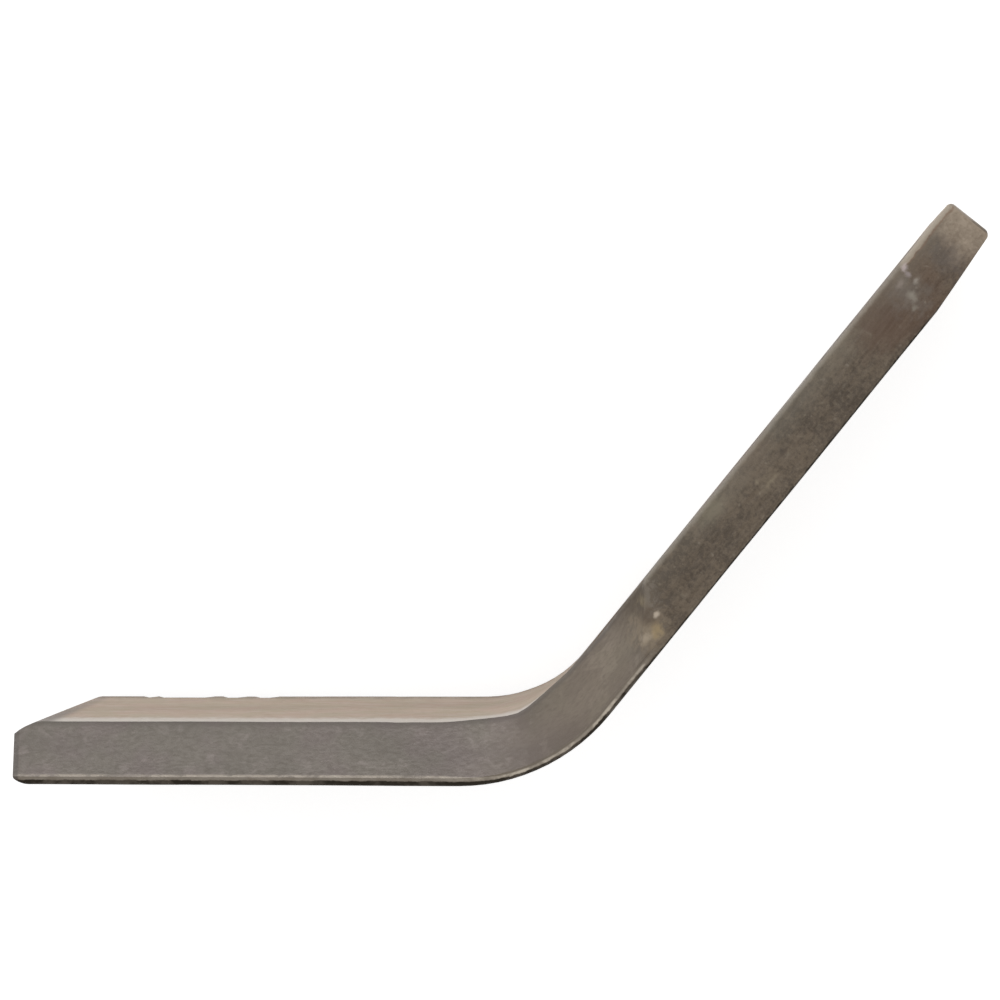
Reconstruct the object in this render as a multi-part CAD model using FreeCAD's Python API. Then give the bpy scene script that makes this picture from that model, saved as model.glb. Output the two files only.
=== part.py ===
import FreeCAD, Part
import math
import os

# Mulcher blade: one flat steel bar, bent once into a mounting leg and a cutting leg.
# Millimetres. The origin is the middle of the bolt hole, half way through the bar.
# X runs along the mounting leg to its tip, Y from the outer face to the inner face,
# Z across the width of the bar. The blade lies on one long edge, with Z up.
# It is shaped with its outer face on Y = 0 and moved by half its thickness at the end.

# flat bar
BAR_WIDTH = 50.0
BAR_THICKNESS = 8.0
ROLLED_EDGE_RADIUS = 0.8

# bend between the two legs
BEND_ANGLE = 50.8
INNER_BEND_RADIUS = 19.0

# leg lengths on the outer faces, from the end of the leg to where the outer faces would meet
CUTTING_LEG_LENGTH = 75.9
MOUNTING_LEG_LENGTH = 96.6

# bolt hole in the mounting leg
BOLT_DIAMETER = 20.0
BOLT_CLEARANCE = 0.5
HOLE_TO_TIP = 28.0
HOLE_RIM_BREAK = 0.4

# cutting bevel ground on both long edges, from a narrow land beside the outer face
LAND_HEIGHT = 1.2
BEVEL_DEPTH = 8.0
BEVEL_EDGE_BREAK = 0.35
BEVEL_BREAK_REACH = 0.6
BEVEL_PAST_BEND = 6.6
RUNOUT_CLEARANCE = 3.6

# sheared end of the cutting leg: leaning face, roll-over on the inner face, worn outer corner
SHEAR_LEAN = 1.8
ROLLOVER_LENGTH = 4.4
ROLLOVER_DROP = 1.55
WORN_CORNER_LENGTH = 3.2
WORN_CORNER_RISE = 0.95

# tip of the mounting leg: outer face drawn down towards a square end
TIP_TAPER_LENGTH = 13.0
TIP_TAPER_DROP = 1.1
TIP_OUTER_ROUND = 0.8
TIP_INNER_ROUND = 0.7

# plan corners of both ends
END_CORNER_RADIUS = 1.2

# roundness of the short arcs, as a share of the chord, and how far cuts run past the bar
ARC_BULGE = 0.12
OVERRUN = 1.5

HALF_WIDTH = BAR_WIDTH / 2
OUTER_BEND_RADIUS = INNER_BEND_RADIUS + BAR_THICKNESS
BEND_SETBACK = OUTER_BEND_RADIUS * math.tan(math.radians(BEND_ANGLE) / 2)
TIP_X = HOLE_TO_TIP
BEND_X = TIP_X - MOUNTING_LEG_LENGTH + BEND_SETBACK
CUTTING_END_X = BEND_X - (CUTTING_LEG_LENGTH - BEND_SETBACK)
BEND_CENTRE = FreeCAD.Vector(BEND_X, OUTER_BEND_RADIUS, 0)
UP = FreeCAD.Vector(0, 0, 1)


def point(x, y, z=0.0):
    return FreeCAD.Vector(x, y, z)


def chain(points):
    """Straight edges through the points in turn."""
    return [Part.LineSegment(a, b).toShape() for a, b in zip(points, points[1:])]


def bulged_arc(start, end, outward):
    """Arc between two points, bulging to the side that outward points to."""
    chord = end - start
    middle = (start + end) * 0.5 + outward.normalize() * (chord.Length * ARC_BULGE)
    return Part.Arc(start, middle, end).toShape()


def face_of(edges):
    return Part.Face(Part.Wire(Part.__sortEdges__(edges)))


def bent(shape):
    """Turns a shape of the straight bar from the bend on into the cutting leg's direction."""
    turned = shape.copy()
    turned.rotate(BEND_CENTRE, UP, -BEND_ANGLE)
    return turned


def bar_section():
    """Cross section of the rolled flat bar, across the line where the bend starts."""
    block = Part.makeBox(
        OVERRUN, BAR_THICKNESS, BAR_WIDTH, point(BEND_X, 0, -HALF_WIDTH)
    )
    long_edges = [e for e in block.Edges if abs(e.tangentAt(e.FirstParameter).x) > 0.5]
    rounded = block.makeFillet(ROLLED_EDGE_RADIUS, long_edges)
    return min(rounded.Faces, key=lambda f: f.CenterOfMass.x)


def bevel_section():
    """What the grinding takes off one long edge: everything above the bevel line."""
    slope = (BAR_THICKNESS - LAND_HEIGHT) / BEVEL_DEPTH
    top = HALF_WIDTH + OVERRUN
    break_y = BAR_THICKNESS - BEVEL_EDGE_BREAK
    break_z = HALF_WIDTH - (break_y - LAND_HEIGHT) / slope
    inner_z = break_z - BEVEL_BREAK_REACH
    far_z = inner_z - BEVEL_BREAK_REACH * OVERRUN / BEVEL_EDGE_BREAK
    corners = [
        point(BEND_X, LAND_HEIGHT - OVERRUN * slope, top),
        point(BEND_X, break_y, break_z),
        point(BEND_X, BAR_THICKNESS + OVERRUN, far_z),
        point(BEND_X, BAR_THICKNESS + OVERRUN, top),
    ]
    return face_of(chain(corners + corners[:1]))


def bevel_tool():
    """Ground bevel: along the cutting leg, around the bend, and lifting out on the other leg."""
    section = bevel_section()
    leg = bent(section.extrude(point(CUTTING_END_X - BEND_X - 2 * OVERRUN - SHEAR_LEAN, 0)))
    around = section.revolve(BEND_CENTRE, UP, -BEND_ANGLE)
    past = section.extrude(point(BEVEL_PAST_BEND, 0))
    lifted = section.copy()
    lifted.translate(point(BEVEL_PAST_BEND, 0))
    lift_centre = point(BEND_X + BEVEL_PAST_BEND, 0, HALF_WIDTH + RUNOUT_CLEARANCE)
    runout = lifted.revolve(lift_centre, point(0, -1, 0), 90)
    return leg.fuse([around, past, runout])


def cutting_end_tool():
    """Everything beyond the sheared end face of the cutting leg, on the straight bar."""
    worn_start = point(CUTTING_END_X + WORN_CORNER_LENGTH, 0)
    worn_end = point(CUTTING_END_X, WORN_CORNER_RISE)
    lean = SHEAR_LEAN / BAR_THICKNESS
    roll_y = BAR_THICKNESS - ROLLOVER_DROP
    roll_start = point(CUTTING_END_X - lean * (roll_y - WORN_CORNER_RISE), roll_y)
    roll_end = point(roll_start.x + ROLLOVER_LENGTH, BAR_THICKNESS)
    beyond = CUTTING_END_X - SHEAR_LEAN - 4 * OVERRUN
    edges = [
        bulged_arc(worn_start, worn_end, point(-1, -1)),
        bulged_arc(roll_start, roll_end, point(-1, 1)),
    ]
    edges += chain([worn_end, roll_start])
    edges += chain([
        roll_end,
        point(roll_end.x, BAR_THICKNESS + OVERRUN),
        point(beyond, BAR_THICKNESS + OVERRUN),
        point(beyond, -OVERRUN),
        point(worn_start.x, -OVERRUN),
        worn_start,
    ])
    return across_width(face_of(edges))


def tip_tool():
    """Everything outside the tapered tip of the mounting leg."""
    fall = TIP_TAPER_DROP / TIP_TAPER_LENGTH
    taper_x = TIP_X - TIP_TAPER_LENGTH
    round_x = TIP_X - TIP_OUTER_ROUND
    outer_start = point(round_x, fall * (round_x - taper_x))
    outer_end = point(TIP_X, TIP_TAPER_DROP + TIP_OUTER_ROUND)
    inner_start = point(TIP_X, BAR_THICKNESS - TIP_INNER_ROUND)
    inner_end = point(TIP_X - TIP_INNER_ROUND, BAR_THICKNESS)
    before = point(taper_x - OVERRUN, -fall * OVERRUN)
    beyond = TIP_X + OVERRUN
    edges = [
        bulged_arc(outer_start, outer_end, point(1, -1)),
        bulged_arc(inner_start, inner_end, point(1, 1)),
    ]
    edges += chain([before, outer_start])
    edges += chain([outer_end, inner_start])
    edges += chain([
        inner_end,
        point(inner_end.x, BAR_THICKNESS + OVERRUN),
        point(beyond, BAR_THICKNESS + OVERRUN),
        point(beyond, -2 * OVERRUN),
        point(before.x, -2 * OVERRUN),
        before,
    ])
    return across_width(face_of(edges))


def across_width(outline):
    lowered = outline.copy()
    lowered.translate(point(0, 0, -HALF_WIDTH - OVERRUN))
    return lowered.extrude(point(0, 0, BAR_WIDTH + 2 * OVERRUN))


def end_corner_tool(end_x, outward):
    """Rounds the two plan corners of an end; outward is +1 or -1 along X."""
    radius = END_CORNER_RADIUS
    low = -OVERRUN
    reach = BAR_THICKNESS + 2 * OVERRUN
    blocks = []
    for side in (1, -1):
        centre = point(end_x - outward * radius, low, side * (HALF_WIDTH - radius))
        corner = Part.makeBox(2 * radius, reach, 2 * radius)
        corner.translate(point(
            centre.x - (2 * radius if outward < 0 else 0),
            low,
            centre.z - (2 * radius if side < 0 else 0),
        ))
        blocks.append(corner.cut(Part.makeCylinder(radius, reach, centre, point(0, 1, 0))))
    return blocks[0].fuse(blocks[1])


def bolt_hole_tool():
    """Through hole with a small break on both rims."""
    radius = (BOLT_DIAMETER + BOLT_CLEARANCE) / 2
    bore = Part.makeCylinder(
        radius, BAR_THICKNESS + 2 * OVERRUN, point(0, -OVERRUN), point(0, 1, 0)
    )
    wide = radius + HOLE_RIM_BREAK + OVERRUN
    cone_height = HOLE_RIM_BREAK + OVERRUN
    outer_rim = Part.makeCone(wide, radius, cone_height, point(0, -OVERRUN), point(0, 1, 0))
    inner_rim = Part.makeCone(
        radius, wide, cone_height, point(0, BAR_THICKNESS - HOLE_RIM_BREAK), point(0, 1, 0)
    )
    return bore.fuse([outer_rim, inner_rim])


def make_blade():
    section = bar_section()
    mounting_leg = section.extrude(point(TIP_X - BEND_X, 0))
    around = section.revolve(BEND_CENTRE, UP, -BEND_ANGLE)
    cutting_leg = bent(section.extrude(point(CUTTING_END_X - BEND_X - SHEAR_LEAN, 0)))
    bar = mounting_leg.fuse([around, cutting_leg]).removeSplitter()

    bevel = bevel_tool()
    trimmed = bar.cut([
        bevel,
        bevel.mirror(point(0, 0), UP),
        bent(cutting_end_tool()),
        bent(end_corner_tool(CUTTING_END_X - SHEAR_LEAN / 2, -1)),
        tip_tool(),
        end_corner_tool(TIP_X, 1),
        bolt_hole_tool(),
    ])
    finished = trimmed.removeSplitter()
    finished.translate(point(0, -BAR_THICKNESS / 2))
    return finished


blade = make_blade()
if len(blade.Solids) != 1 or not blade.isValid():
    raise RuntimeError("the blade is not one valid solid")
os.makedirs("parts", exist_ok=True)
blade.Solids[0].exportStep("parts/blade.step")
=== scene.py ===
import bpy
import bmesh
import math
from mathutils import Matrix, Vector, noise


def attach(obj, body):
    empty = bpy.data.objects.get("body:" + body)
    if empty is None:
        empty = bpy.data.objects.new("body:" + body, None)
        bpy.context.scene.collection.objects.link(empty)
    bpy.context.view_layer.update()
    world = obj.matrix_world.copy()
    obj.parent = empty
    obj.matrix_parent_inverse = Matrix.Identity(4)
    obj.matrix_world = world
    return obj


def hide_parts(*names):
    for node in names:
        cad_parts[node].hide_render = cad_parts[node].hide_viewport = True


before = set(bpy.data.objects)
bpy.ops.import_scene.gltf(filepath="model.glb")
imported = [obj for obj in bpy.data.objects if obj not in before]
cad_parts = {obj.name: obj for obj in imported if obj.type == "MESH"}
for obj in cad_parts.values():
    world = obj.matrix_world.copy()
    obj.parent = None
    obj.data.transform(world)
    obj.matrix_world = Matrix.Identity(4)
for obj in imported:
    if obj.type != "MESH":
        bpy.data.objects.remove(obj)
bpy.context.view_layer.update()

# sizes of the bar, in millimetres
MM = 1000.0
THICK = 8.0
HALF_WIDTH = 25.0
INNER_RADIUS = 19.0
BEND = math.radians(50.8)
TIP = 28.0
MOUNTING_LEG = 96.6
LAND = 1.2
BEVEL = 8.0
PAST_BEND = 6.6
LIFT_CLEARANCE = 3.6
HOLE_RADIUS = 10.25
HOLE_RIM = 0.6
SHEAR_LEAN = 1.8
INNER_HALF_WIDTH = HALF_WIDTH - BEVEL
OUTER_RADIUS = INNER_RADIUS + THICK
MIDDLE_RADIUS = INNER_RADIUS + THICK / 2
BEND_START = TIP - MOUNTING_LEG + OUTER_RADIUS * math.tan(BEND / 2)
BEND_MIDDLE = Vector((BEND_START, OUTER_RADIUS - THICK / 2, 0.0))
LEG_ALONG = Vector((-math.cos(BEND), math.sin(BEND), 0.0))
LEG_INWARD = Vector((math.sin(BEND), math.cos(BEND), 0.0))
BEND_RUN = BEND * MIDDLE_RADIUS


# the steel, as it lay before it was bent
def bend_turn(place):
    """How far around the bend a place in mm lies."""
    arm = place - BEND_MIDDLE
    if place.x >= BEND_START and arm.dot(LEG_ALONG) < 0:
        return 0.0
    return min(max(math.atan2(-arm.x, -arm.y), 0.0), BEND)


def laid_flat(place):
    """Run along the straight bar from the bend, height over the outer face, place across."""
    arm = place - BEND_MIDDLE
    turn = bend_turn(place)
    if turn <= 0:
        return Vector((place.x - BEND_START, place.y + THICK / 2, place.z))
    if turn >= BEND:
        past = arm.dot(LEG_ALONG)
        return Vector((-BEND_RUN - past, arm.dot(LEG_INWARD) + OUTER_RADIUS, place.z))
    return Vector((-turn * MIDDLE_RADIUS, OUTER_RADIUS - arm.xy.length, place.z))


def inward_at(place):
    """Direction from the outer face to the inner face."""
    turn = bend_turn(place)
    return Vector((math.sin(turn), math.cos(turn), 0.0))


def bevel_gap(flat):
    """Distance across from a laid-flat place to the ground bevel's surface."""
    depth = BEVEL * (flat.y - LAND) / (THICK - LAND)
    past = flat.x - PAST_BEND
    if past > 0:
        reach = LIFT_CLEARANCE + depth
        if past >= reach:
            return HALF_WIDTH
        depth = math.sqrt(reach * reach - past * past) - LIFT_CLEARANCE
    return HALF_WIDTH - depth - abs(flat.z)


def hump(value, middle, reach):
    """1 at the middle, falling softly to 0 at the given reach."""
    share = min(abs(value - middle) / reach, 1.0)
    return 0.5 + 0.5 * math.cos(math.pi * share)


# node helpers
FLOAT, COLOUR, VECTOR = "NodeSocketFloat", "NodeSocketColor", "NodeSocketVector"


def shade(red, green, blue):
    """Linear colour from 0-255 display values."""
    def linear(value):
        value /= 255
        return value / 12.92 if value <= 0.04045 else ((value + 0.055) / 1.055) ** 2.4
    return (linear(red), linear(green), linear(blue), 1.0)


class Nodes:
    """Adds nodes to a tree and joins them."""

    def __init__(self, tree):
        self.tree = tree

    def feed(self, socket, value):
        if isinstance(value, bpy.types.NodeSocket):
            self.tree.links.new(value, socket)
        else:
            socket.default_value = value

    def add(self, kind, values=None, **settings):
        node = self.tree.nodes.new(kind)
        for name, value in settings.items():
            setattr(node, name, value)
        for socket, value in (values or {}).items():
            self.feed(node.inputs[socket], value)
        return node

    def maths(self, operation, first, second=0.0):
        return self.add("ShaderNodeMath", {0: first, 1: second}, operation=operation).outputs[0]

    def plus(self, first, second):
        return self.maths("ADD", first, second)

    def times(self, *values):
        product = values[0]
        for value in values[1:]:
            product = self.maths("MULTIPLY", product, value)
        return product

    def vector_maths(self, operation, first, second=None):
        values = {0: first} if second is None else {0: first, 1: second}
        return self.add("ShaderNodeVectorMath", values, operation=operation).outputs

    def ramp(self, value, start, end, low=0.0, high=1.0):
        """Soft step from low to high while the value goes from start to end."""
        inputs = {"Value": value, "From Min": start, "From Max": end, "To Min": low, "To Max": high}
        node = self.add("ShaderNodeMapRange", inputs, interpolation_type="SMOOTHSTEP")
        return node.outputs[0]

    def mix(self, share, base, over):
        """Lays one colour over another; a Mix node has its colours on 6, 7 and 2."""
        node = self.add("ShaderNodeMix", {0: share, 6: base, 7: over}, data_type="RGBA")
        return node.outputs[2]

    def axes(self, place):
        """Run along the bar, height over the outer face, place across."""
        return self.add("ShaderNodeSeparateXYZ", {0: place}).outputs

    def speckle(self, place, scale, detail=3.0, rough=0.6, swirl=0.0):
        inputs = {
            "Vector": place, "Scale": scale, "Detail": detail, "Roughness": rough,
            "Distortion": swirl,
        }
        return self.add("ShaderNodeTexNoise", inputs).outputs["Fac"]

    def wander(self, speckle, reach):
        """Speckle that strays from -reach to +reach."""
        return self.ramp(speckle, 0.3, 0.7, -reach, reach)

    def grouped(self, tree, **values):
        """Places a shared group; an input's name has _ for its space."""
        node = self.add("ShaderNodeGroup", node_tree=tree)
        for name, value in values.items():
            self.feed(node.inputs[name.replace("_", " ")], value)
        return node.outputs


def new_group(name, inputs, outputs):
    """A shader group with its tree, its helper and its two ends."""
    tree = bpy.data.node_groups.new(name, "ShaderNodeTree")
    for label, kind, value in inputs:
        socket = tree.interface.new_socket(label, in_out="INPUT", socket_type=kind)
        if value is not None:
            socket.default_value = value
    for label, kind in outputs:
        tree.interface.new_socket(label, in_out="OUTPUT", socket_type=kind)
    nodes = Nodes(tree)
    return tree, nodes, nodes.add("NodeGroupInput").outputs, nodes.add("NodeGroupOutput").inputs


# finishes that several parts of the steel share; a step from one number to another is in mm
# where it follows the run, the height, the side or the distance from an end
def mill_scale():
    """Dark rolled skin: blotches, fine grit, pale wormy marks and warm rusty clouds."""
    tree, n, given, out = new_group(
        "mill scale",
        [
            ("Place", VECTOR, None),
            ("Dark", COLOUR, shade(75, 64, 52)),
            ("Light", COLOUR, shade(118, 104, 87)),
            ("Rust", COLOUR, shade(102, 76, 57)),
        ],
        [("Colour", COLOUR), ("Height", FLOAT)],
    )
    place = given["Place"]
    broad = n.speckle(place, 0.11, rough=0.55)
    blotch = n.speckle(place, 0.70)
    grit = n.speckle(place, 2.3, rough=0.65)
    clouds = n.speckle(place, 0.05, 2.0, 0.5, 0.5)
    worms = n.speckle(place, 0.30, 2.0, 0.5, 1.8)
    dots = n.speckle(place, 1.05, 1.0, 0.5)

    tone = n.plus(n.times(broad, 0.34), n.plus(n.times(blotch, 0.26), n.times(grit, 0.40)))
    body = n.mix(n.ramp(tone, 0.385, 0.625), given["Dark"], given["Light"])
    body = n.mix(n.times(n.ramp(clouds, 0.50, 0.66), 0.5), body, given["Rust"])
    marks = n.times(n.ramp(worms, 0.60, 0.74), n.ramp(blotch, 0.42, 0.66))
    body = n.mix(n.times(marks, 0.42), body, shade(150, 139, 121))
    flecks = n.ramp(dots, 0.70, 0.80)
    body = n.mix(n.times(flecks, 0.32), body, shade(166, 154, 138))
    n.feed(out["Colour"], body)
    n.feed(out["Height"], n.plus(tone, n.times(marks, 0.2)))
    return tree


def steel_grain():
    """Soft clouds and fine grain of bare steel, stretched the way it was worked."""
    tree, n, given, out = new_group(
        "steel grain",
        [("Place", VECTOR, None), ("Stretch", VECTOR, (1.0, 1.0, 1.0))],
        [("Cloud", FLOAT), ("Grain", FLOAT)],
    )
    worked = n.vector_maths("MULTIPLY", given["Place"], given["Stretch"])[0]
    n.feed(out["Cloud"], n.speckle(worked, 0.16, rough=0.5))
    n.feed(out["Grain"], n.speckle(worked, 2.2, detail=4.0))
    return tree


def stain():
    """A soft spot with a ragged rim at one place on the bar."""
    tree, n, given, out = new_group(
        "stain",
        [
            ("Base", COLOUR, None),
            ("Place", VECTOR, None),
            ("Centre", VECTOR, (0.0, 0.0, 0.0)),
            ("Size", VECTOR, (1.0, 1.0, 1.0)),
            ("Colour", COLOUR, None),
            ("Strength", FLOAT, 0.5),
        ],
        [("Colour", COLOUR)],
    )
    away = n.vector_maths("SUBTRACT", given["Place"], given["Centre"])[0]
    share = n.vector_maths("DIVIDE", away, given["Size"])[0]
    far = n.vector_maths("LENGTH", share)["Value"]
    rim = n.plus(far, n.wander(n.speckle(given["Place"], 0.9), 0.28))
    cover = n.times(n.ramp(rim, 1.25, 0.10), given["Strength"])
    n.feed(out["Colour"], n.mix(cover, given["Base"], given["Colour"]))
    return tree


def corners():
    """Painted shade on the outer corner, painted highlight and some wear on the inner corner, painted shade
    at the rim of the sheared end.
    """
    tree, n, given, out = new_group(
        "corners",
        [("Base", COLOUR, None), ("Place", VECTOR, None), ("From end", FLOAT, 10.0)],
        [("Colour", COLOUR), ("Painted shade", FLOAT)],
    )
    place = given["Place"]
    run, height, across = n.axes(place)
    side = n.maths("ABSOLUTE", across)
    level = n.plus(height, n.wander(n.speckle(place, 0.8), 0.07))
    # painted highlight, with some edge wear, on the rounded inner corner
    rubbed_and_highlit = n.times(n.ramp(level, 7.25, 7.85), n.ramp(side, 23.2, 24.2))
    body = n.mix(n.times(rubbed_and_highlit, 0.38), given["Base"], shade(180, 172, 160))

    # bright burr on the land of the ground leg, partly a real burr and partly a painted highlight, closer
    # to the outer face around the bend and painted brighter there, where the faces turn away from the lamps
    ground_leg = n.ramp(run, 12.0, 6.0)
    closer = n.ramp(run, -24.0, -12.0)
    level = n.plus(level, n.times(closer, 0.30))
    top = n.plus(height, n.times(closer, 0.66))
    burr_and_highlight = n.times(n.ramp(top, 1.62, 1.36), n.ramp(level, 0.74, 0.88), n.ramp(side, 23.4, 24.2))
    broken = n.ramp(n.speckle(place, 0.55, rough=0.65), 0.36, 0.60, 0.30, 1.0)
    bright = n.mix(closer, shade(148, 138, 126), shade(222, 210, 192))
    body = n.mix(n.times(burr_and_highlight, broken, ground_leg, 0.92), body, bright)

    # patchy painted shade on the outer corner under it, narrower on the mounting leg and gone at the tip
    lifted = n.plus(level, n.ramp(run, 4.0, 14.0, 0.0, 0.22))
    low = n.times(n.ramp(lifted, 0.88, 0.66), n.ramp(side, 23.9, 24.45), n.ramp(run, 77.0, 67.0))
    painted_shade = n.times(low, n.ramp(n.speckle(place, 0.30), 0.36, 0.56, 0.74, 0.95))
    body = n.mix(painted_shade, body, shade(38, 33, 26))
    n.feed(out["Painted shade"], painted_shade)

    # painted shade along the rim of the sheared end of the cutting leg
    painted_end_shade = n.times(n.ramp(given["From end"], 0.55, 0.25), n.ramp(run, 0.0, -20.0))
    n.feed(out["Colour"], n.mix(n.times(painted_end_shade, 0.75), body, shade(66, 59, 52)))
    return tree


SKIN, GRAIN, STAIN, CORNERS = mill_scale(), steel_grain(), stain(), corners()

# marks: place on the straight bar (run, height, across) and size in mm, colour, strength
GRINDING_MARKS = [
    ((12.6, 3.3, 24.0), (3.2, 3.2, 9.0), shade(160, 144, 122), 0.70),
    ((13.3, 2.3, 25.0), (1.3, 1.0, 4.0), shade(180, 156, 114), 0.70),
    ((14.0, 4.5, 24.0), (1.5, 1.5, 5.0), shade(90, 75, 60), 0.80),
    ((14.8, 6.6, 25.0), (1.2, 0.9, 3.0), shade(160, 145, 116), 0.60),
    ((11.6, 5.4, 25.0), (1.5, 1.3, 4.0), shade(150, 136, 116), 0.55),
    ((11.5, 2.8, 25.0), (1.2, 0.8, 3.0), shade(186, 170, 148), 0.80),
]
SCALE_MARKS = [
    ((14.9, 3.75, 25.0), (0.55, 0.42, 2.0), shade(214, 198, 178), 0.90),
    ((30.9, 6.7, 25.0), (2.8, 1.3, 4.0), shade(142, 134, 114), 0.60),
    ((38.6, 3.4, 25.0), (2.2, 1.2, 4.0), shade(140, 126, 106), 0.50),
    ((43.0, 4.3, 25.0), (0.9, 0.6, 3.0), shade(70, 60, 50), 0.50),
    ((39.0, 3.0, 25.0), (1.3, 0.4, 3.0), shade(156, 142, 120), 0.60),
    ((37.6, 4.4, 25.0), (0.5, 0.4, 3.0), shade(160, 146, 124), 0.60),
    ((65.0, 4.3, 25.0), (5.5, 4.0, 9.0), shade(98, 78, 63), 0.70),
    ((70.3, 4.4, 25.0), (3.2, 3.4, 8.0), shade(138, 131, 122), 0.42),
    ((72.7, 7.1, 25.0), (0.7, 0.5, 3.0), shade(220, 204, 201), 0.85),
    ((72.3, 6.2, 25.0), (0.4, 0.7, 3.0), shade(186, 172, 170), 0.60),
    ((72.3, 4.9, 25.0), (0.6, 0.5, 3.0), shade(184, 174, 162), 0.65),
    ((70.6, 6.2, 25.0), (0.8, 0.5, 3.0), shade(170, 156, 146), 0.50),
    ((70.4, 3.9, 25.0), (0.8, 0.9, 3.0), shade(172, 164, 150), 0.60),
    ((69.3, 2.7, 25.0), (0.6, 0.5, 3.0), shade(164, 156, 142), 0.50),
    ((77.2, 3.8, 25.0), (2.4, 3.6, 8.0), shade(112, 104, 98), 0.45),
]


def steel_material(name, stretch):
    """A material with the bar's own coordinates and grain ready to use."""
    material = bpy.data.materials.new(name)
    material.use_nodes = True
    material.node_tree.nodes.clear()
    n = Nodes(material.node_tree)
    steel = n.add("ShaderNodeBsdfPrincipled")
    n.feed(n.add("ShaderNodeOutputMaterial").inputs["Surface"], steel.outputs[0])
    place = n.add("ShaderNodeAttribute", attribute_name="laid_flat").outputs["Vector"]
    grain = n.grouped(GRAIN, Place=place, Stretch=stretch)
    return material, n, steel.inputs, place, grain


def finish_steel(n, surface, place, body, bump_height, bump_depth, rough, metal):
    """Adds what every finish has at the corners, and the bump, whose depth is in metres."""
    touched = n.grouped(CORNERS, Base=body, Place=place, From_end=from_end(n))
    n.feed(surface["Base Color"], touched["Colour"])
    # the painted shade on the outer corner takes the shine away too, so that it stays as dark as its colour
    n.feed(surface["Roughness"], n.maths("MAXIMUM", rough, n.times(touched["Painted shade"], 0.8)))
    n.feed(surface["Metallic"], n.maths("MAXIMUM", metal, touched["Painted shade"]))
    bump = n.add("ShaderNodeBump", {"Height": bump_height, "Distance": bump_depth, "Strength": 1.0})
    n.feed(surface["Normal"], bump.outputs[0])


def from_end(n):
    """Distance in mm from the end of the leg."""
    return n.add("ShaderNodeAttribute", attribute_name="from_end").outputs["Fac"]


def stained(n, body, place, marks):
    """Lays the marks over a finish, one after the other."""
    for centre, size, colour, strength in marks:
        body = n.grouped(
            STAIN, Base=body, Place=place, Centre=centre, Size=size, Colour=colour, Strength=strength
        )["Colour"]
    return body


def rubbed_tan(n, place, grain):
    """Inner face: tan, with a painted highlight beside one edge and painted shade beside the other, and
    darker at the rolled end.
    """
    across = n.axes(place)["Z"]
    body = n.mix(n.ramp(grain["Cloud"], 0.36, 0.64), shade(153, 138, 121), shade(171, 155, 137))
    mottled = n.times(n.ramp(n.speckle(place, 0.8), 0.45, 0.7), 0.30)
    body = n.mix(mottled, body, shade(136, 119, 100))
    tint = n.ramp(n.speckle(place, 0.14, 2.0, 0.5), 0.38, 0.62)
    body = n.mix(0.30, body, n.mix(tint, shade(180, 146, 129), shade(164, 146, 118)))

    slipped = n.plus(across, n.wander(n.speckle(place, 0.5), 0.9))
    # painted highlight on the inner face beside the visible edge
    painted_highlight = n.times(n.ramp(slipped, 9.8, 14.8), n.ramp(grain["Grain"], 0.3, 0.6, 0.78, 0.95))
    body = n.mix(painted_highlight, body, shade(202, 194, 185))
    # painted shade on the inner face beside the far edge
    painted_far_shade = n.times(n.ramp(slipped, -13.0, -15.8), n.ramp(grain["Grain"], 0.35, 0.6, 0.6, 1.0))
    body = n.mix(n.times(painted_far_shade, 0.75), body, shade(108, 98, 87))
    rolled_over = n.times(n.ramp(from_end(n), 6.4, 4.0), n.ramp(across, -12.0, 12.0, 0.45, 1.0))
    return n.mix(n.times(rolled_over, 0.85), body, shade(106, 97, 90))


def rubbed_tip(n, body, place, skin):
    """The scale worn off the tip, and a pale strip along its inner edge."""
    run, height, across = n.axes(place)
    tip = n.ramp(n.plus(run, n.wander(n.speckle(place, 0.30, 2.0, 0.5), 2.0)), 75.5, 81.5)
    worn = n.mix(n.ramp(skin["Height"], 0.34, 0.66), shade(152, 136, 117), shade(194, 177, 157))
    body = n.mix(n.times(tip, 0.75), body, worn)
    strip = n.times(n.ramp(run, 72.2, 73.4), n.ramp(n.maths("ABSOLUTE", across), 24.0, 24.4))
    edge = n.plus(height, n.wander(n.speckle(place, 0.7), 0.15))
    body = n.mix(n.times(strip, n.ramp(edge, 6.95, 7.15), 0.6), body, shade(140, 114, 94))
    return n.mix(n.times(strip, n.ramp(edge, 7.15, 7.4), 0.9), body, shade(182, 168, 150))


def rolled_steel():
    """Faces left as rolled: dark scale, rubbed tan inside the bend and on the cutting leg."""
    material, n, surface, place, grain = steel_material("rolled steel", (0.12, 1.0, 0.8))
    skin = n.grouped(SKIN, Place=place)
    run, height, across = n.axes(place)
    side = n.maths("ABSOLUTE", across)
    wandering = n.plus(run, n.ramp(skin["Height"], 0.35, 0.65, -3.0, 3.0))
    inner = n.times(n.ramp(wandering, 9.0, -6.0), n.ramp(height, 6.5, 7.8))
    body = n.mix(inner, skin["Colour"], rubbed_tan(n, place, grain))

    # the belt skimmed the side a little way past the end of the bevel
    skim_end = n.ramp(height, 0.0, THICK, 12.2, 17.2)
    skimmed = n.ramp(n.maths("SUBTRACT", wandering, skim_end), 1.6, -2.4)
    skimmed = n.times(skimmed, n.ramp(side, 23.5, 24.0))
    body = n.mix(n.times(skimmed, 0.8), body, shade(136, 125, 112))

    # paler and greyer towards the inner edge
    paler = n.times(n.ramp(height, 3.5, 7.8), n.ramp(side, 24.0, 24.8), n.ramp(run, 20.0, 34.0, 0.12, 0.30))
    body = n.mix(paler, body, shade(158, 150, 134))
    body = rubbed_tip(n, body, place, skin)
    body = stained(n, body, place, GRINDING_MARKS + SCALE_MARKS)
    rough = n.ramp(grain["Grain"], 0.3, 0.7, 0.52, 0.72)
    finish_steel(
        n, surface, place, body, bump_height=skin["Height"], bump_depth=0.00010, rough=rough, metal=0.10
    )
    return material


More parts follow.
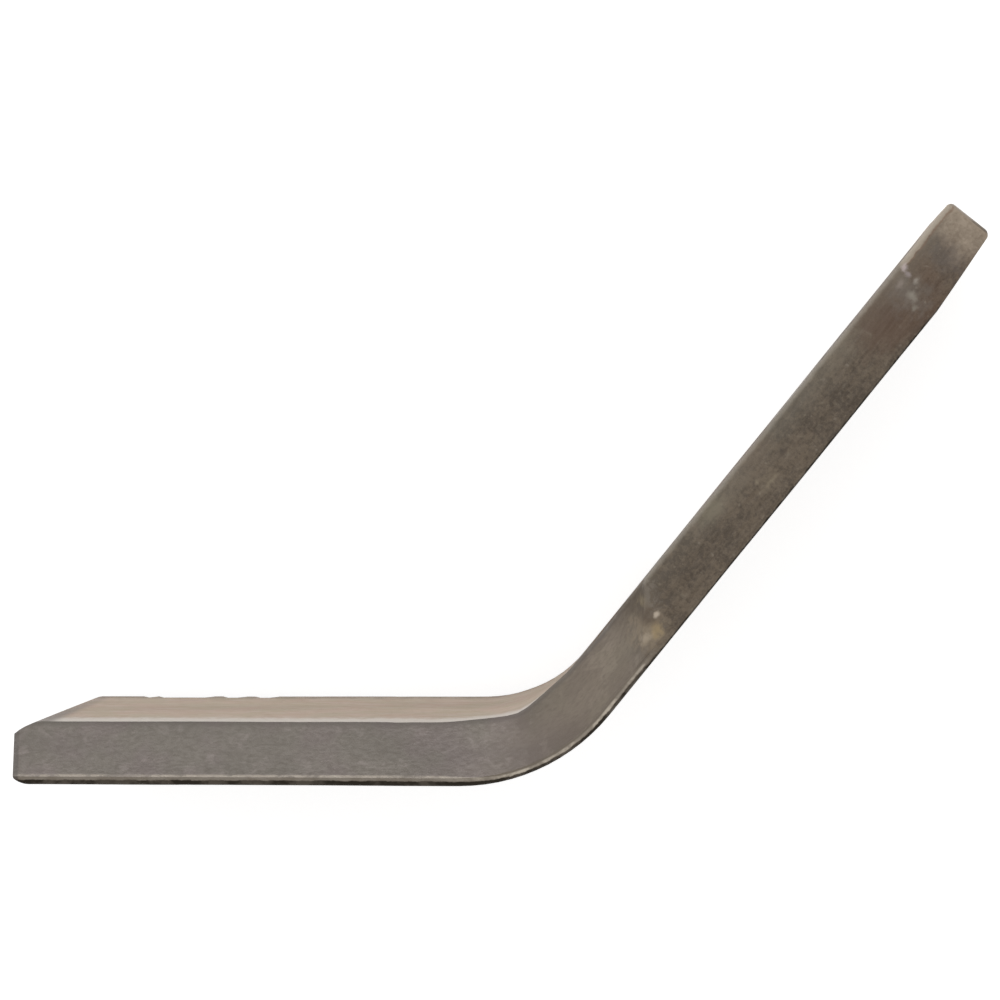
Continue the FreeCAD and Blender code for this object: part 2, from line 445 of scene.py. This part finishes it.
def ground_steel():
    """Cutting bevel: smooth grey, browner around the bend and dull where it ends; its darker tone on the
    cutting leg, which faces the lamps, is painted shade.
    """
    material, n, surface, place, grain = steel_material("ground steel", (0.5, 1.0, 1.0))
    run, height = n.axes(place)[:2]
    bend = n.ramp(run, -24.0, 4.0)

    def leg_to_bend(leg, around):
        return n.mix(bend, shade(*leg), shade(*around))

    # painted shade: every tone is darker on the cutting leg, which faces the lamps, than around the bend,
    # which turns away from them; the bend is also browner
    body = leg_to_bend((80, 71, 63), (112, 100, 87))
    clouds = n.ramp(grain["Cloud"], 0.34, 0.66)
    body = n.mix(clouds, body, leg_to_bend((92, 83, 75), (133, 121, 105)))
    spots = n.ramp(n.speckle(place, 0.33, swirl=0.6), 0.52, 0.68)
    body = n.mix(n.times(spots, 0.55), body, leg_to_bend((118, 107, 102), (146, 134, 118)))
    grit = n.times(n.ramp(grain["Grain"], 0.40, 0.78), n.ramp(bend, 0.0, 1.0, 0.34, 0.60))
    body = n.mix(grit, body, leg_to_bend((78, 69, 61), (106, 95, 81)))
    body = n.mix(n.times(n.ramp(height, 7.2, 7.6), 0.5), body, shade(80, 72, 66))
    tint = n.ramp(n.speckle(place, 0.12, 2.0, 0.5), 0.38, 0.62)
    tinted = n.mix(tint, shade(98, 84, 82), shade(92, 86, 74))
    body = n.mix(n.maths("SUBTRACT", 0.35, n.times(bend, 0.20)), body, tinted)

    # duller where the grinding lifts out of the mounting leg
    dull = n.ramp(run, 7.0, 15.5)
    body = n.mix(n.times(dull, 0.78), body, shade(90, 78, 62))
    body = stained(n, body, place, GRINDING_MARKS)
    rough = n.plus(n.ramp(grain["Grain"], 0.3, 0.7, 0.40, 0.52), n.times(dull, 0.28))
    metal = n.ramp(dull, 0.0, 1.0, 0.2, 0.08)
    finish_steel(
        n, surface, place, body, bump_height=grain["Grain"], bump_depth=0.00003, rough=rough, metal=metal
    )
    return material


def sheared_steel():
    """End faces, cut across the bar with drag marks over the thickness."""
    material, n, surface, place, grain = steel_material("sheared steel", (1.0, 0.15, 1.6))
    skin = n.grouped(SKIN, Place=place)
    run, height = n.axes(place)[:2]
    body = n.mix(n.ramp(grain["Grain"], 0.35, 0.65), shade(110, 99, 88), shade(142, 130, 117))
    body = n.mix(n.ramp(skin["Height"], 0.45, 0.62, 0.0, 0.6), body, skin["Colour"])
    body = n.mix(n.ramp(run, 70.0, 80.0, 0.0, 0.6), body, shade(170, 154, 136))

    # the shear slid along the steel first and tore the rest, down to the outer face
    dragged = n.add("ShaderNodeMapping", {"Vector": place, "Scale": (1.0, 0.12, 1.0)}).outputs[0]
    drag = n.speckle(dragged, 0.9)
    torn = n.ramp(n.plus(height, n.wander(drag, 0.9)), 5.2, 4.4)
    body = n.mix(n.times(torn, 0.65), body, shade(88, 78, 68))
    body = n.mix(n.times(n.ramp(drag, 0.52, 0.66), 0.4), body, shade(158, 147, 134))
    rough = n.ramp(torn, 0.0, 1.0, 0.42, 0.70)
    finish_steel(
        n, surface, place, body, bump_height=drag, bump_depth=0.00012, rough=rough, metal=0.15
    )
    return material


def drilled_steel():
    """Wall of the bolt hole: brighter, with fine rings from the drill."""
    material, n, surface, place, grain = steel_material("drilled steel", (0.25, 3.0, 0.25))
    body = n.mix(n.ramp(grain["Grain"], 0.35, 0.65), shade(118, 112, 106), shade(158, 151, 144))
    rough = n.ramp(grain["Grain"], 0.3, 0.7, 0.30, 0.45)
    finish_steel(
        n, surface, place, body, bump_height=grain["Grain"], bump_depth=0.00004, rough=rough, metal=0.5
    )
    return material


# the blade, and how its faces are told apart: distances in mm, and how squarely they face
ROLLED, GROUND, SHEARED, DRILLED = range(4)
SQUARE_ON = 0.9
FACES_END = 0.7
FACES_INWARD = 0.97
END_DEPTH = 3.0
BROKEN_EDGE_DEPTH = 0.4
BEVEL_REACH = 0.12
BROKEN_EDGE_REACH = 0.6


def beyond_hole(face):
    """Whether a face is neither in the bolt hole nor on its broken rims."""
    middle = face.calc_center_median() * MM
    from_axis = math.hypot(middle.x, middle.z)
    return from_axis > HOLE_RADIUS + HOLE_RIM or abs(face.normal.y) > SQUARE_ON


def finish_of(face, run_ends):
    """Which finish a face of the bar has."""
    if not beyond_hole(face):
        return DRILLED
    middle = face.calc_center_median() * MM
    flat = laid_flat(middle)
    along = face.normal.dot(Vector((1.0, 0.0, 0.0)) if flat.x > 0 else LEG_ALONG)
    to_end = min(flat.x - run_ends[0], run_ends[1] - flat.x)
    if to_end < END_DEPTH and along > FACES_END:
        return SHEARED
    tilted = abs(face.normal.dot(inward_at(middle))) < FACES_INWARD
    broken_edge = flat.y > THICK - BROKEN_EDGE_DEPTH and tilted
    reach = BROKEN_EDGE_REACH if broken_edge else BEVEL_REACH
    if flat.y > LAND and abs(bevel_gap(flat)) < reach:
        return GROUND
    return ROLLED


def slice_at(shape, faces, place, normal):
    """Cuts the given faces by a plane, so that they have points to move."""
    parts = set(faces)
    for face in faces:
        parts.update(face.edges)
        parts.update(face.verts)
    bmesh.ops.bisect_plane(
        shape, geom=list(parts), dist=1e-7, plane_co=place / MM, plane_no=normal
    )


# slices in mm: how far apart, and where on each leg they start and end
ACROSS_STEP = 1.5
ALONG_STEP = 1.25
FIRST_ACROSS = 22.5
PAST_RUNOUT = 19.0
BEFORE_TIP = 1.5
FIRST_PAST_BEND = 1.0
LAST_PAST_BEND = 56.0
SIDE_HEIGHTS = (1.2, 2.6, 4.0, 5.4, 6.8)


def slice_bar(shape):
    """Fine pieces along both legs and across the width, none inside the hole."""
    across = FIRST_ACROSS
    while across >= -FIRST_ACROSS:
        chosen = [face for face in shape.faces if beyond_hole(face)]
        slice_at(shape, chosen, Vector((0.0, 0.0, across)), Vector((0.0, 0.0, 1.0)))
        across -= ACROSS_STEP
    run = BEND_START + PAST_RUNOUT
    while run < TIP - BEFORE_TIP:
        chosen = [face for face in shape.faces if beyond_hole(face)]
        slice_at(shape, chosen, Vector((run, 0.0, 0.0)), Vector((1.0, 0.0, 0.0)))
        run += ALONG_STEP
    past = FIRST_PAST_BEND
    while past < LAST_PAST_BEND:
        slice_at(shape, shape.faces[:], BEND_MIDDLE + past * LEG_ALONG, LEG_ALONG)
        past += ALONG_STEP
    for height in SIDE_HEIGHTS:
        chosen = [
            face for face in shape.faces
            if face.calc_center_median().x * MM > BEND_START + PAST_RUNOUT
            and abs(face.normal.z) > SQUARE_ON and beyond_hole(face)
        ]
        slice_at(shape, chosen, Vector((0.0, height - THICK / 2, 0.0)), Vector((0.0, 1.0, 0.0)))


# wear, in mm
# inside of the bend at the visible edge: run, reach, how far it stands in
BEND_KINKS = ((-18.1, 6.5, 0.36), (-11.0, 3.4, -0.22), (-3.6, 7.0, 0.44))
# inside of the bend at the far edge
BEND_FULLNESS = (-14.0, 9.0, 0.12)
# end sheared out of square: how far in along the leg, how far off at the far edge, and outwards
SKEW_REACH = 12.0
SKEW = 1.9
SKEW_OUTER = 0.22
# tip: where the wear starts, over what run, how deep
TIP_WEAR = (76.0, 7.0, 0.25)
WAVINESS = 0.05
NICK_DEPTH = 0.25
LAND_CHIP_DEPTH = 0.35
# shallow chips in the far inner edge: from run, to run, depth
CHIPS = ((-73.6, -72.4, 0.26), (-70.8, -63.7, 0.34), (-60.2, -57.9, 0.34), (-56.2, -53.6, 0.30))


def nick_at(run, pace, start, side, least):
    """Depth share of the small nicks along one edge, different on each side of the bar."""
    return max(noise.noise(Vector((run * pace, start + (side > 0) * 5.0, 0.0))) - least, 0.0)


def wear(place, flat, to_end):
    """How far a place has moved, in mm: true bar to the bent, sheared and used one."""
    shift = Vector((0.0, 0.0, 0.0))
    inward = inward_at(place)
    inner = max(flat.y / THICK, 0.0) ** 2
    over_width = min(abs(flat.z) / INNER_HALF_WIDTH, 1.0)
    # the inside of the bend has a kink at one edge and is fuller at the other
    if flat.z > 0:
        kink = sum(rise * hump(flat.x, run, reach) for run, reach, rise in BEND_KINKS)
    else:
        run, reach, rise = BEND_FULLNESS
        kink = rise * hump(flat.x, run, reach)
    shift += inward * (kink * inner * over_width)

    # the end is sheared a little out of square
    if flat.x < 0 and to_end < SKEW_REACH:
        near = 1.0 - to_end / SKEW_REACH
        far_side = max(INNER_HALF_WIDTH - flat.z, 0.0) / (INNER_HALF_WIDTH + HALF_WIDTH)
        shift -= LEG_ALONG * (near * (SKEW * far_side + SKEW_OUTER * (1.0 - flat.y / THICK)))

    # the tip is worn back a little
    start, over, depth = TIP_WEAR
    shift.x -= depth * min(max((flat.x - start) / over, 0.0), 1.0)

    # slow waviness of a hot-worked bar
    slow = noise.noise(Vector((flat.x * 0.06, flat.y * 0.1 + 4.0, flat.z * 0.05)))
    shift += inward * (WAVINESS * slow)

    # small nicks along the inner edges, chips in the far one, and chips in the land
    side = abs(flat.z)
    edge = max(0.0, flat.y - THICK + 1.0) * hump(side, INNER_HALF_WIDTH, 2.0)
    shift -= inward * (NICK_DEPTH * edge * nick_at(flat.x, 0.22, 9.0, flat.z, 0.15))
    for start, end, depth in CHIPS:
        if flat.z < 0 and start < flat.x < end:
            shift -= inward * (depth * edge)
    land = max(0.0, 2.0 - flat.y) * hump(side, HALF_WIDTH, 1.2) * (flat.x < 8.0)
    chip = nick_at(flat.x, 0.5, 31.0, flat.z, 0.1)
    shift.z -= math.copysign(LAND_CHIP_DEPTH * land * chip, flat.z)
    return shift


def keep_places_and_wear(shape, run_ends):
    """Keeps where each point lay on the straight bar, for the finishes, and wears it."""
    keep_flat = shape.verts.layers.float_vector.new("laid_flat")
    keep_end = shape.verts.layers.float.new("from_end")
    for vert in shape.verts:
        place = vert.co * MM
        flat = laid_flat(place)
        lean = SHEAR_LEAN * min(max(flat.y / THICK, 0.0), 1.0)
        sheared_at = run_ends[0] + SHEAR_LEAN - lean
        to_end = flat.x - sheared_at if flat.x < 0 else run_ends[1] - flat.x
        vert[keep_flat] = flat
        vert[keep_end] = to_end
        vert.co += wear(place, flat, to_end) / MM


MERGE_DISTANCE = 1e-6
FLAT_ANGLE = math.radians(0.3)
SHARP_ANGLE = math.radians(35)


def make_blade():
    shape = bmesh.new()
    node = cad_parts["blade"]
    shape.from_mesh(node.data)
    shape.transform(node.matrix_world)
    bmesh.ops.remove_doubles(shape, verts=shape.verts, dist=MERGE_DISTANCE)
    shape.normal_update()

    runs = [laid_flat(vert.co * MM).x for vert in shape.verts]
    run_ends = (min(runs), max(runs))
    for face in shape.faces:
        face.smooth = True
        face.material_index = finish_of(face, run_ends)
    bmesh.ops.dissolve_limit(
        shape, angle_limit=FLAT_ANGLE, verts=shape.verts, edges=shape.edges,
        delimit={"MATERIAL"},
    )
    slice_bar(shape)
    keep_places_and_wear(shape, run_ends)
    shape.normal_update()
    for edge in shape.edges:
        if len(edge.link_faces) == 2:
            edge.smooth = edge.calc_face_angle() < SHARP_ANGLE
    bmesh.ops.triangulate(shape, faces=[face for face in shape.faces if len(face.verts) > 4])

    mesh = bpy.data.meshes.new("blade steel")
    shape.to_mesh(mesh)
    shape.free()
    for finish in (rolled_steel(), ground_steel(), sheared_steel(), drilled_steel()):
        mesh.materials.append(finish)
    blade = bpy.data.objects.new("bent_blade", mesh)
    bpy.context.scene.collection.objects.link(blade)
    weigh = blade.modifiers.new("flat faces stay flat", "WEIGHTED_NORMAL")
    weigh.keep_sharp = True
    weigh.weight = 100
    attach(blade, "root")
    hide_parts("blade")


make_blade()


# floor and room, in metres; the glow goes from near the blade to far from it
WHITE = (1.0, 1.0, 1.0, 1.0)
PALE = (0.80, 0.80, 0.80, 1.0)
FLOOR_REACH = 1.5
FLOOR_MIDDLE = (-0.04, 0.02, -0.0251)
GLOW_DISTANCES = (0.10, 0.50)
GLOW_STRENGTHS = (0.71, 0.82)
ROOM_LIGHT = 0.31


def lit_paths(n):
    """1 where the floor and the world are seen, directly, in a reflection or through glass."""
    path = n.add("ShaderNodeLightPath").outputs
    seen = n.maths("MAXIMUM", path["Is Camera Ray"], path["Is Transmission Ray"])
    return n.maths("MAXIMUM", seen, path["Is Glossy Ray"])


def make_floor():
    shape = bmesh.new()
    bmesh.ops.create_grid(shape, x_segments=1, y_segments=1, size=FLOOR_REACH)
    bmesh.ops.translate(shape, verts=shape.verts, vec=FLOOR_MIDDLE)
    mesh = bpy.data.meshes.new("floor")
    shape.to_mesh(mesh)
    shape.free()
    material = bpy.data.materials.new("pale floor")
    material.use_nodes = True
    material.node_tree.nodes.clear()
    n = Nodes(material.node_tree)
    matt = n.add("ShaderNodeBsdfDiffuse", {"Color": PALE})
    glow = n.add("ShaderNodeEmission", {"Color": WHITE})
    # whiter away from the blade, so that only its own soft shadow is left
    spot = n.add("ShaderNodeTexCoord").outputs["Object"]
    away = n.vector_maths("LENGTH", spot)["Value"]
    strength = n.ramp(away, *GLOW_DISTANCES, *GLOW_STRENGTHS)
    n.feed(glow.inputs["Strength"], n.times(lit_paths(n), strength))
    both = n.add("ShaderNodeAddShader", {0: matt.outputs[0], 1: glow.outputs[0]})
    n.feed(n.add("ShaderNodeOutputMaterial").inputs["Surface"], both.outputs[0])
    mesh.materials.append(material)
    floor = bpy.data.objects.new("floor", mesh)
    bpy.context.scene.collection.objects.link(floor)


def make_world():
    world = bpy.data.worlds.new("studio")
    world.use_nodes = True
    world.node_tree.nodes.clear()
    n = Nodes(world.node_tree)
    sky = n.add("ShaderNodeBackground", {"Color": WHITE})
    n.feed(sky.inputs["Strength"], n.ramp(lit_paths(n), 0.0, 1.0, ROOM_LIGHT, 1.0))
    n.feed(n.add("ShaderNodeOutputWorld").inputs["Surface"], sky.outputs[0])
    bpy.context.scene.world = world


# lamps and camera: the picture's directions, and places in metres
PICTURE_RIGHT = Vector((0.622, -0.777, -0.098))
PICTURE_UP = Vector((0.777, 0.628, -0.041))
TO_CAMERA = Vector((0.093, -0.050, 0.994))
MIDDLE = Vector((-0.050, 0.015, 0.0))
CAMERA_PLACE = (-0.0045, 0.00589, 0.42697)
CAMERA_TURNS = (-2.3586, 5.6011, -51.3187)
CAMERA_LENS = 105.884


def soft_lamp(name, right, up, near, size, power):
    """Round lamp aimed at the blade; its place is told as the picture shows it."""
    place = MIDDLE + right * PICTURE_RIGHT + up * PICTURE_UP + near * TO_CAMERA
    light = bpy.data.lights.new(name, "AREA")
    light.shape = "DISK"
    light.size = size
    light.energy = power
    lamp = bpy.data.objects.new(name, light)
    lamp.location = place
    lamp.rotation_mode = "QUATERNION"
    lamp.rotation_quaternion = (MIDDLE - place).to_track_quat("-Z", "Y")
    bpy.context.scene.collection.objects.link(lamp)


def make_camera():
    view = bpy.data.cameras.new("camera")
    view.sensor_width = 36.0
    view.lens = CAMERA_LENS
    view.clip_start = 0.01
    view.clip_end = 10.0
    camera = bpy.data.objects.new("camera", view)
    camera.location = CAMERA_PLACE
    camera.rotation_euler = [math.radians(turn) for turn in CAMERA_TURNS]
    bpy.context.scene.collection.objects.link(camera)
    bpy.context.scene.camera = camera


make_floor()
make_world()
soft_lamp("window light", right=-0.20, up=0.88, near=0.18, size=0.6, power=4.1)
soft_lamp("overhead light", right=0.0, up=0.0, near=0.9, size=0.8, power=1.35)
soft_lamp("fill light", right=0.35, up=-0.75, near=0.16, size=0.3, power=1.0)
make_camera()
bpy.context.scene.view_settings.view_transform = "Standard"
